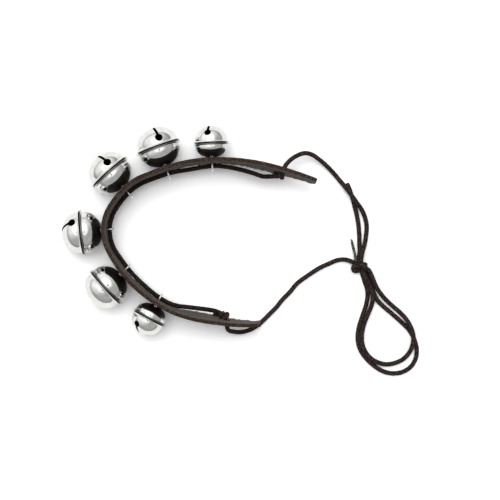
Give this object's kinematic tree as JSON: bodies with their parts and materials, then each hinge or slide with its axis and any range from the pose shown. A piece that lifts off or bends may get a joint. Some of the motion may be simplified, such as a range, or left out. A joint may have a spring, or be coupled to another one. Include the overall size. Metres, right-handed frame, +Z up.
{
  "type": "bell strap",
  "caption": "Bent leather strap with crimped two-cup jingle bells on wire loops, laced by a waxed cord whose ends are tied in a bow; worn on ankle or wrist and shaken as percussion.",
  "frame": {"origin": "on the surface that the strap stands on, under the middle of the strap and bells", "axes": "+Z up across the strap's width, +X from the closed end of the arc towards its open end and the bow"},
  "size_m": [0.217, 0.1519, 0.0281],
  "materials": {
    "leather": "dark brown vegetable-tanned, suede inner face",
    "bell_chrome": "polished nickel plate",
    "loop_wire": "bright drawn wire",
    "pellet_steel": "tumbled steel",
    "waxed_cord": "dark brown waxed round braid"
  },
  "bodies": {
    "strap": {"strap": "leather", "lacing_cord": "waxed_cord", "upper_stopper_knot": "waxed_cord", "lower_stopper_knot": "waxed_cord", "upper_tie_cord": "waxed_cord", "lower_tie_cord": "waxed_cord", "bow_knot": "waxed_cord", "bow_loop_outer": "waxed_cord", "bow_loop_inner": "waxed_cord", "bow_tail_long": "waxed_cord", "bow_tail_short": "waxed_cord"},
    "bell_1_shank": {"bell_1_wire_loop": "loop_wire"},
    "bell_1": {"bell_1_front_shell": "bell_chrome", "bell_1_back_shell": "bell_chrome"},
    "bell_1_pellet": {"bell_1_pellet": "pellet_steel"},
    "bell_2_shank": {"bell_2_wire_loop": "loop_wire"},
    "bell_2": {"bell_2_front_shell": "bell_chrome", "bell_2_back_shell": "bell_chrome"},
    "bell_2_pellet": {"bell_2_pellet": "pellet_steel"},
    "bell_3_shank": {"bell_3_wire_loop": "loop_wire"},
    "bell_3": {"bell_3_front_shell": "bell_chrome", "bell_3_back_shell": "bell_chrome"},
    "bell_3_pellet": {"bell_3_pellet": "pellet_steel"},
    "bell_4_shank": {"bell_4_wire_loop": "loop_wire"},
    "bell_4": {"bell_4_front_shell": "bell_chrome", "bell_4_back_shell": "bell_chrome"},
    "bell_4_pellet": {"bell_4_pellet": "pellet_steel"},
    "bell_5_shank": {"bell_5_wire_loop": "loop_wire"},
    "bell_5": {"bell_5_front_shell": "bell_chrome", "bell_5_back_shell": "bell_chrome"},
    "bell_5_pellet": {"bell_5_pellet": "pellet_steel"},
    "bell_6_shank": {"bell_6_wire_loop": "loop_wire"},
    "bell_6": {"bell_6_front_shell": "bell_chrome", "bell_6_back_shell": "bell_chrome"},
    "bell_6_pellet": {"bell_6_pellet": "pellet_steel"}
  },
  "joints": [
    {"name": "bell_1_nod", "type": "hinge", "parent": "strap", "child": "bell_1_shank", "pos_m": [0.0135, 0.04248, 0.014], "axis": [0.9988, 0.0486, 0], "range_deg": [-10, 10]},
    {"name": "bell_1_swivel", "type": "hinge", "parent": "bell_1_shank", "child": "bell_1", "pos_m": [0.013, 0.05272, 0.014], "axis": [-0.0486, 0.9988, 0], "continuous": true},
    {"name": "bell_1_pellet_roll", "type": "hinge", "parent": "bell_1", "child": "bell_1_pellet", "pos_m": [0.013, 0.05272, 0.014], "axis": [-0.0486, 0.9988, 0], "continuous": true},
    {"name": "bell_2_nod", "type": "hinge", "parent": "strap", "child": "bell_2_shank", "pos_m": [-0.01414, 0.03748, 0.014], "axis": [0.9408, 0.339, 0], "range_deg": [-10, 10]},
    {"name": "bell_2_swivel", "type": "hinge", "parent": "bell_2_shank", "child": "bell_2", "pos_m": [-0.01884, 0.05051, 0.014], "axis": [-0.339, 0.9408, 0], "continuous": true},
    {"name": "bell_2_pellet_roll", "type": "hinge", "parent": "bell_2", "child": "bell_2_pellet", "pos_m": [-0.01884, 0.05051, 0.014], "axis": [-0.339, 0.9408, 0], "continuous": true},
    {"name": "bell_3_nod", "type": "hinge", "parent": "strap", "child": "bell_3_shank", "pos_m": [-0.03907, 0.02488, 0.014], "axis": [0.7451, 0.667, 0], "range_deg": [-10, 10]},
    {"name": "bell_3_swivel", "type": "hinge", "parent": "bell_3_shank", "child": "bell_3", "pos_m": [-0.0483, 0.03519, 0.014], "axis": [-0.667, 0.7451, 0], "continuous": true},
    {"name": "bell_3_pellet_roll", "type": "hinge", "parent": "bell_3", "child": "bell_3_pellet", "pos_m": [-0.0483, 0.03519, 0.014], "axis": [-0.667, 0.7451, 0], "continuous": true},
    {"name": "bell_4_nod", "type": "hinge", "parent": "strap", "child": "bell_4_shank", "pos_m": [-0.05143, 0.00037, 0.014], "axis": [-0.108, 0.9942, 0], "range_deg": [-10, 10]},
    {"name": "bell_4_swivel", "type": "hinge", "parent": "bell_4_shank", "child": "bell_4", "pos_m": [-0.0652, -0.00112, 0.014], "axis": [-0.9942, -0.108, 0], "continuous": true},
    {"name": "bell_4_pellet_roll", "type": "hinge", "parent": "bell_4", "child": "bell_4_pellet", "pos_m": [-0.0652, -0.00112, 0.014], "axis": [-0.9942, -0.108, 0], "continuous": true},
    {"name": "bell_5_nod", "type": "hinge", "parent": "strap", "child": "bell_5_shank", "pos_m": [-0.04038, -0.02501, 0.014], "axis": [-0.6721, 0.7404, 0], "range_deg": [-10, 10]},
    {"name": "bell_5_swivel", "type": "hinge", "parent": "bell_5_shank", "child": "bell_5", "pos_m": [-0.05064, -0.03432, 0.014], "axis": [-0.7404, -0.6721, 0], "continuous": true},
    {"name": "bell_5_pellet_roll", "type": "hinge", "parent": "bell_5", "child": "bell_5_pellet", "pos_m": [-0.05064, -0.03432, 0.014], "axis": [-0.7404, -0.6721, 0], "continuous": true},
    {"name": "bell_6_nod", "type": "hinge", "parent": "strap", "child": "bell_6_shank", "pos_m": [-0.01953, -0.04375, 0.014], "axis": [-0.8799, 0.4752, 0], "range_deg": [-10, 10]},
    {"name": "bell_6_swivel", "type": "hinge", "parent": "bell_6_shank", "child": "bell_6", "pos_m": [-0.0244, -0.05277, 0.014], "axis": [-0.4752, -0.8799, 0], "continuous": true},
    {"name": "bell_6_pellet_roll", "type": "hinge", "parent": "bell_6", "child": "bell_6_pellet", "pos_m": [-0.0244, -0.05277, 0.014], "axis": [-0.4752, -0.8799, 0], "continuous": true}
  ]
}
